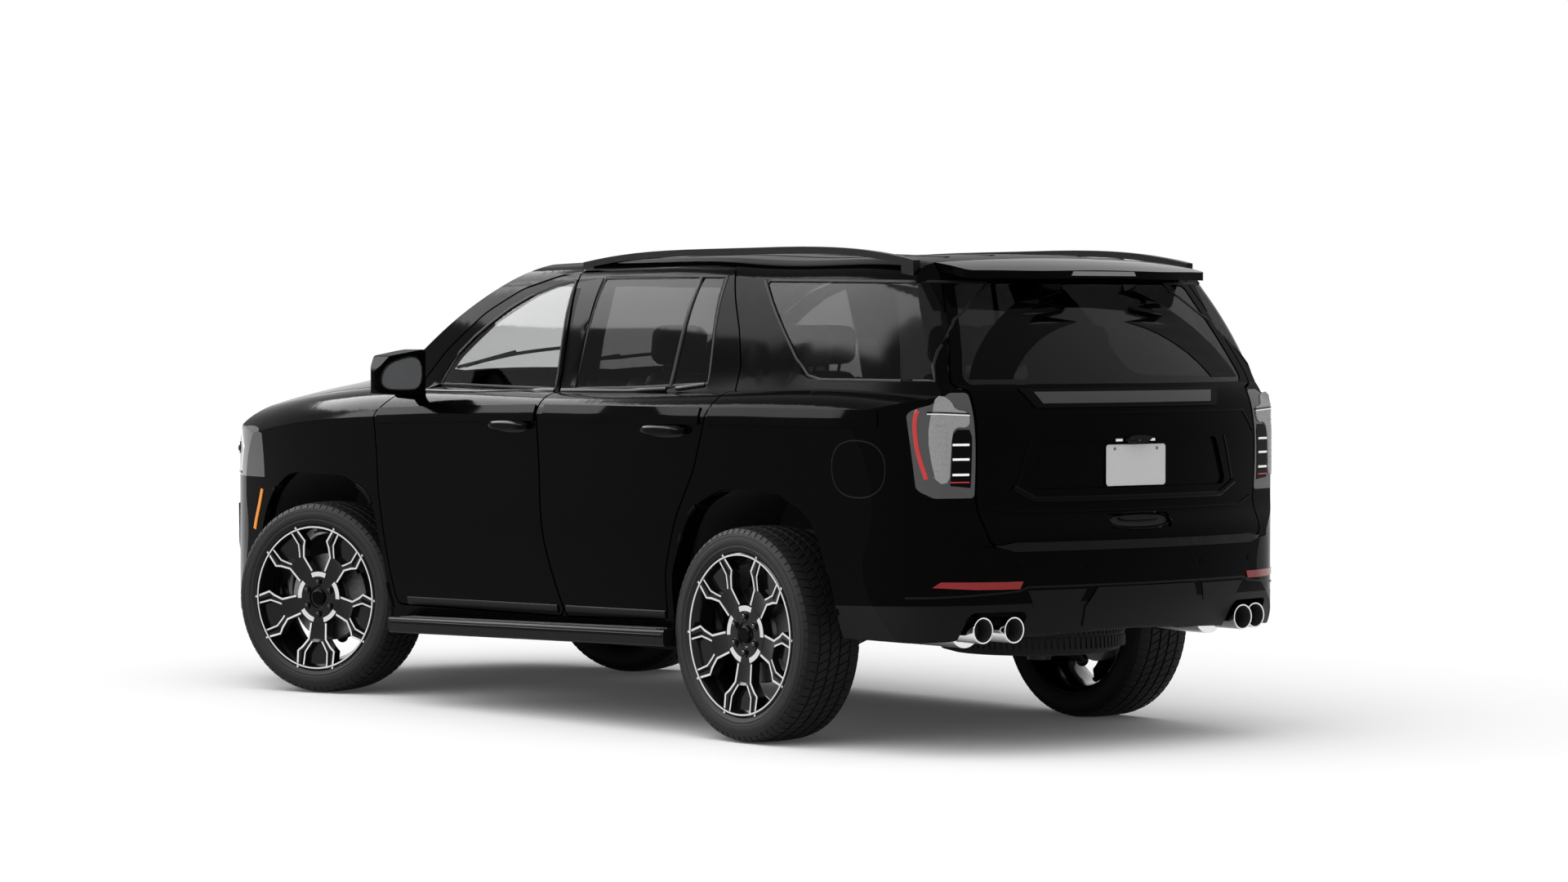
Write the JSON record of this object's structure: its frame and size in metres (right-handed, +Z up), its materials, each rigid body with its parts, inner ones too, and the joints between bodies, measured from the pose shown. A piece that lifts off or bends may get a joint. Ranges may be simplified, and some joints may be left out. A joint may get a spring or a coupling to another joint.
{
  "type": "full-size sport utility vehicle",
  "caption": "Black full-size sport utility vehicle with opening doors, hood and liftgate, steered front wheels and rolling wheels.",
  "frame": {"origin": "on the ground, below the middle of the overall length and width", "axes": "+X forward, +Y to the left side, +Z up"},
  "size_m": [5.308, 2.4778, 1.9184],
  "materials": {
    "paint": "gloss",
    "frame_black": "satin",
    "dark_plastic": "matte",
    "gloss_black": "gloss",
    "tinted_glass": "clear",
    "clear_glass": "clear",
    "lamp": "clear",
    "tyre": "matte",
    "rim": "gloss",
    "cast": "rough",
    "steel": "satin",
    "chrome": "polished",
    "leather": "satin",
    "tank_plastic": "matte"
  },
  "bodies": {
    "body": {"chassis_frame": "frame_black", "floor_pan": "dark_plastic", "body_sides": "paint", "roof_panel": "paint", "front_fenders": "paint", "front_bumper": "paint", "grille": "gloss_black", "headlamps": "lamp", "rear_bumper": "paint", "rear_valance": "dark_plastic", "tail_lamps": "lamp", "windshield": "clear_glass", "quarter_glass": "tinted_glass", "roof_rails": "dark_plastic", "running_boards": "dark_plastic", "engine_block": "cast", "driveline": "steel", "suspension": "frame_black", "exhaust": "chrome", "fuel_tank": "tank_plastic", "spare_wheel": "tyre", "dashboard": "dark_plastic", "seats": "leather"},
    "hood": {"hood": "paint"},
    "front_door_left": {"front_door_left": "paint", "front_door_glass_left": "clear_glass", "mirror_left": "gloss_black"},
    "front_door_right": {"front_door_right": "paint", "front_door_glass_right": "clear_glass", "mirror_right": "gloss_black"},
    "rear_door_left": {"rear_door_left": "paint", "rear_door_glass_left": "tinted_glass"},
    "rear_door_right": {"rear_door_right": "paint", "rear_door_glass_right": "tinted_glass"},
    "liftgate": {"liftgate": "paint", "liftgate_glass": "tinted_glass"},
    "knuckle_left": {"knuckle_left": "cast"},
    "knuckle_right": {"knuckle_right": "cast"},
    "steering_wheel": {"steering_wheel": "leather"},
    "wheel_front_left": {"tyre_front_left": "tyre", "wheel_front_left": "rim"},
    "wheel_front_right": {"tyre_front_right": "tyre", "wheel_front_right": "rim"},
    "wheel_rear_left": {"tyre_rear_left": "tyre", "wheel_rear_left": "rim"},
    "wheel_rear_right": {"tyre_rear_right": "tyre", "wheel_rear_right": "rim"}
  },
  "joints": [
    {"name": "steer_left", "type": "hinge", "parent": "body", "child": "knuckle_left", "pos_m": [1.64, 0.8, 0.43], "axis": [0, 0, 1], "range_deg": [-55, 14]},
    {"name": "steer_right", "type": "hinge", "parent": "body", "child": "knuckle_right", "pos_m": [1.64, -0.8, 0.43], "axis": [0, 0, 1], "range_deg": [-55, 14]},
    {"name": "spin_front_left", "type": "hinge", "parent": "knuckle_left", "child": "wheel_front_left", "pos_m": [1.61525, 0.86655, 0.419], "axis": [-0.3486, 0.9373, 0], "continuous": true},
    {"name": "spin_rear_left", "type": "hinge", "parent": "body", "child": "wheel_rear_left", "pos_m": [-1.431, 0.871, 0.419], "axis": [0, 1, 0], "continuous": true},
    {"name": "spin_front_right", "type": "hinge", "parent": "knuckle_right", "child": "wheel_front_right", "pos_m": [1.66475, -0.86655, 0.419], "axis": [-0.3486, 0.9373, 0], "continuous": true},
    {"name": "spin_rear_right", "type": "hinge", "parent": "body", "child": "wheel_rear_right", "pos_m": [-1.431, -0.871, 0.419], "axis": [0, 1, 0], "continuous": true},
    {"name": "steering_wheel_turn", "type": "hinge", "parent": "body", "child": "steering_wheel", "pos_m": [0.56, 0.4, 1.12], "axis": [-0.9063, 0, 0.4226], "range_deg": [-840, 220]},
    {"name": "front_door_left", "type": "hinge", "parent": "body", "child": "front_door_left", "pos_m": [1.0785, 0.998, 0.9], "axis": [0, 0, 1], "range_deg": [-66, 0]},
    {"name": "rear_door_left", "type": "hinge", "parent": "body", "child": "rear_door_left", "pos_m": [-0.107, 0.999, 0.9], "axis": [0, 0, 1], "range_deg": [-68, 0]},
    {"name": "front_door_right", "type": "hinge", "parent": "body", "child": "front_door_right", "pos_m": [1.0785, -0.998, 0.9], "axis": [0, 0, 1], "range_deg": [0, 66]},
    {"name": "rear_door_right", "type": "hinge", "parent": "body", "child": "rear_door_right", "pos_m": [-0.107, -0.999, 0.9], "axis": [0, 0, 1], "range_deg": [0, 68]},
    {"name": "hood_lift", "type": "hinge", "parent": "body", "child": "hood", "pos_m": [1.19, 0, 1.395], "axis": [0, -1, 0], "range_deg": [0, 52]},
    {"name": "liftgate_lift", "type": "hinge", "parent": "body", "child": "liftgate", "pos_m": [-2.155, 0, 1.865], "axis": [0, 1, 0], "range_deg": [0, 86]}
  ],
  "couplings": [
    {"joint": "steer_right", "follows": "steer_left", "ratio": 1},
    {"joint": "steering_wheel_turn", "follows": "steer_left", "ratio": 14.5}
  ]
}
